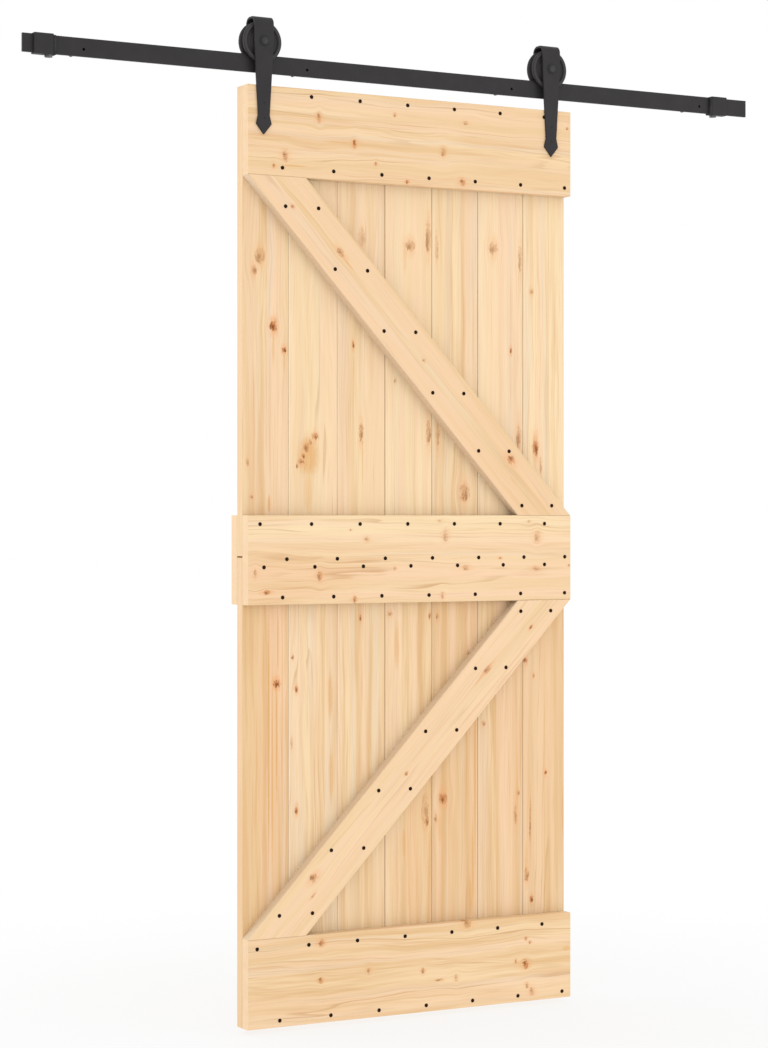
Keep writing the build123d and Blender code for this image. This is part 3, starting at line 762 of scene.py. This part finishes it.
# Bumpers: moulded pads of black rubber on the faces of the stops towards the wheels, matt, with a little
# bloom on the surface.
rubber_colour = (0.022, 0.021, 0.022, 1)
rubber_bloom = (0.045, 0.044, 0.044, 1)
rubber_gloss = 0.25
rubber_roughness = 0.68
rubber_relief = 0.0001
bloom_pattern = ((60, 60, 60), 3)
bloom_contrast = (0.4, 0.8)
pore_pattern = ((1500, 1500, 1500), 2)
rubber_material, rubber_shader, rubber_place = new_material("black_rubber")
bloom = rubber_place.noise(*bloom_pattern)
pores = rubber_place.noise(*pore_pattern)
rubber_shader.inputs["Specular IOR Level"].default_value = rubber_gloss
finish_shader(rubber_shader, pores, rubber_relief,
              Base_Color=bloom.ramp(*bloom_contrast).mix(rubber_colour, rubber_bloom),
              Roughness=bloom * 0.15 + rubber_roughness)
for node in ("left_bumper", "right_bumper"):
    dress(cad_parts[node], rubber_material)

# Studio floor: pale and plain, just under the door, with a soft shadow that fades into the white around it.
# To the light that falls on the door it is as white as the room.
floor_colour = (0.8, 0.8, 0.8, 1)
floor_roughness = 0.9
floor_gap = 0.012
floor_reach = 30.0
floor_level = cad_box[0].z - floor_gap
shadow_middle = (0, -0.08, floor_level)
shadow_fade = (0.5, 2.0)
shadow_share = 0.22
floor_mesh = bpy.data.meshes.new("studio_floor")
floor_mesh.from_pydata([(-floor_reach, -floor_reach, floor_level), (floor_reach, -floor_reach, floor_level),
                        (floor_reach, floor_reach, floor_level), (-floor_reach, floor_reach, floor_level)],
                       [], [(0, 1, 2, 3)])
floor = bpy.data.objects.new("studio_floor", floor_mesh)
bpy.context.scene.collection.objects.link(floor)
floor_material, floor_shader, floor_place = new_material("pale_floor")
floor_shader.inputs["Base Color"].default_value = floor_colour
floor_shader.inputs["Roughness"].default_value = floor_roughness
floor_tree = floor_shader.id_data
rays = floor_tree.nodes.new("ShaderNodeLightPath")
ray_kinds = ("Is Camera Ray", "Is Glossy Ray", "Is Transmission Ray")
shown = strongest([Wire(rays.outputs[kind]) for kind in ray_kinds])
white = Wire.node(floor_tree, "ShaderNodeEmission", {}, {"Color": (1, 1, 1, 1), "Strength": 1.0})
away = floor_place.vector("SUBTRACT", shadow_middle).vector("LENGTH", (0, 0, 0), "Value")
whiteness = 1 - shown * (1 - away.ramp(*shadow_fade)) * shadow_share
floor_mix = Wire.node(floor_tree, "ShaderNodeMixShader", {}, {"Fac": whiteness})
floor_tree.links.new(floor_shader.outputs[0], floor_mix.socket.node.inputs[1])
floor_tree.links.new(white.socket, floor_mix.socket.node.inputs[2])
floor_tree.links.new(floor_mix.socket, floor_tree.nodes["Material Output"].inputs["Surface"])
dress(floor, floor_material)

# Light: an even white room, a broad soft lamp on the right in front, and a second lamp behind the left edge
# that picks out the board ends. Diffuse light bounces once, so that the corners between the boards keep
# their soft grey shade.
world = bpy.data.worlds.new("white_room")
bpy.context.scene.world = world
world.use_nodes = True
room = world.node_tree.nodes["Background"]
room.inputs["Color"].default_value = (1, 1, 1, 1)
room.inputs["Strength"].default_value = 1.0
bpy.context.scene.cycles.diffuse_bounces = 1


def soft_lamp(name, place, aim, size, power):
    lamp = bpy.data.lights.new(name, "AREA")
    lamp.shape = "DISK"
    lamp.size = size
    lamp.energy = power
    holder = bpy.data.objects.new(name, lamp)
    holder.location = place
    holder.rotation_euler = (Vector(aim) - Vector(place)).to_track_quat("-Z", "Y").to_euler()
    bpy.context.scene.collection.objects.link(holder)


door_middle = (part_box("middle_rail")[0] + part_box("middle_rail")[1]) / 2
key_place = door_middle + Vector((3.2, -4.6, 0.4))
edge_place = door_middle + Vector((-3.4, 1.6, 0.9))
soft_lamp("key_lamp", key_place, aim=door_middle, size=3.2, power=30)
soft_lamp("edge_lamp", edge_place, aim=door_middle, size=2.4, power=16)

# Camera: where the photograph was taken from, level, turned to look at the door from its left. Its place,
# lens and shift were fitted to the corners of the boards.
photo_width = 768
photo_height = 1048
focal_pixels = 2608.9
eye_from_corner = Vector((-2.53034, -5.20999, 1.14149))
turn_from_square = radians(28.89)
horizon_row = 515.93
camera = bpy.data.cameras.new("camera")
camera.sensor_width = 36.0
camera.lens = focal_pixels * camera.sensor_width / photo_height
camera.shift_y = (horizon_row - photo_height / 2) / photo_height
camera_holder = bpy.data.objects.new("camera", camera)
camera_holder.location = Vector((door_corner.x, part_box("bottom_rail")[0].y, door_corner.z)) + eye_from_corner
camera_holder.rotation_euler = (radians(90), 0, -turn_from_square)
bpy.context.scene.collection.objects.link(camera_holder)
bpy.context.scene.camera = camera_holder
bpy.context.scene.view_settings.view_transform = "Standard"
